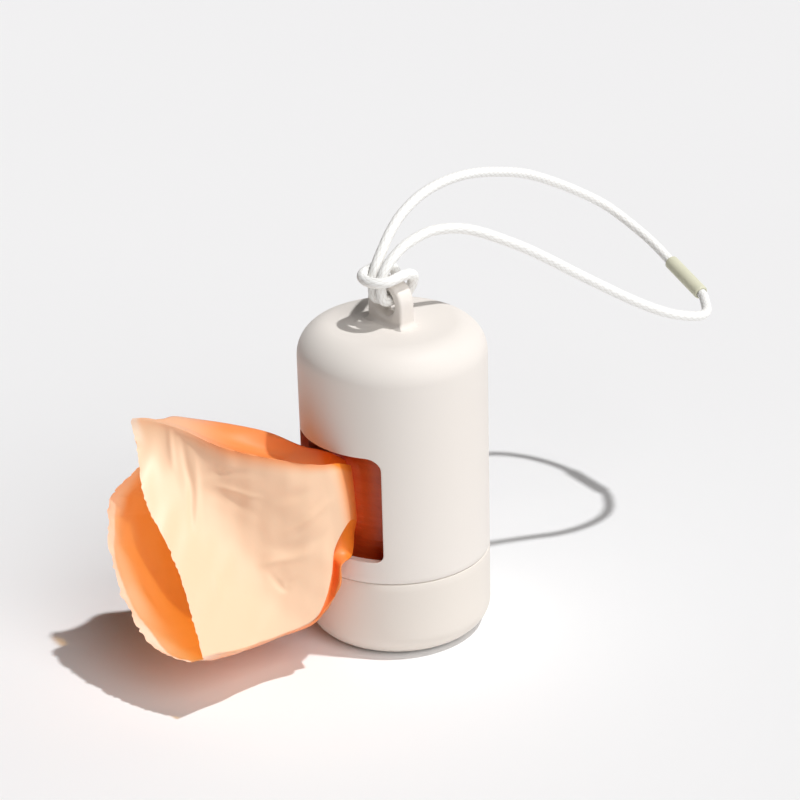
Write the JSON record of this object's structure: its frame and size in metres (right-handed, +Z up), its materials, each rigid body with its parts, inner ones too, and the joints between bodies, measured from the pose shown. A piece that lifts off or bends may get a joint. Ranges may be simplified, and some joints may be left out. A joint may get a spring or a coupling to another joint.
{
  "type": "dog poop bag dispenser",
  "caption": "Capsule in two push-fit halves that holds a roll of bags: the film leaves through a window in its side, and an elastic loop is hitched in the eyelet on top.",
  "frame": {"origin": "centre of the face that the capsule stands on, on the capsule's axis", "axes": "+Z up along the capsule's axis, -Y out of the window, X across the window; the eyelet's hole runs along Y"},
  "size_m": [0.0587, 0.1719, 0.1026],
  "materials": {
    "shell_plastic": "smooth satin off-white moulding",
    "cap_plastic": "smooth satin off-white moulding",
    "wound_film": "tightly wound orange film",
    "core_card": "plain brown cardboard tube",
    "bag_film": "thin crinkled translucent peach film",
    "elastic_cord": "white braided elastic cord",
    "sleeve_plastic": "pale sage shrink sleeve"
  },
  "bodies": {
    "base": {"base_cap": "cap_plastic"},
    "shell": {"canister_shell": "shell_plastic"},
    "roll": {"bag_roll": "wound_film", "roll_core": "core_card"},
    "bag": {"drawn_bag": "bag_film"},
    "loop": {"cord_loop": "elastic_cord", "cord_sleeve": "sleeve_plastic"}
  },
  "joints": [
    {"name": "shell_lift", "type": "slide", "parent": "base", "child": "shell", "axis": [0, 0, 1], "range_m": [0, 0.045]},
    {"name": "roll_spin", "type": "hinge", "parent": "base", "child": "roll", "pos_m": [0, 0, 0.0315], "axis": [0, 0, -1], "range_deg": [0, 900]},
    {"name": "bag_pull", "type": "slide", "parent": "shell", "child": "bag", "axis": [0, -1, 0], "range_m": [0, 0.2514]},
    {"name": "cord_swing", "type": "hinge", "parent": "shell", "child": "loop", "pos_m": [0, 0, 0.08265], "axis": [0, 1, 0], "range_deg": [-75, 75]}
  ],
  "couplings": [
    {"joint": "bag_pull", "follows": "roll_spin", "m_per_rad": 0.016}
  ]
}
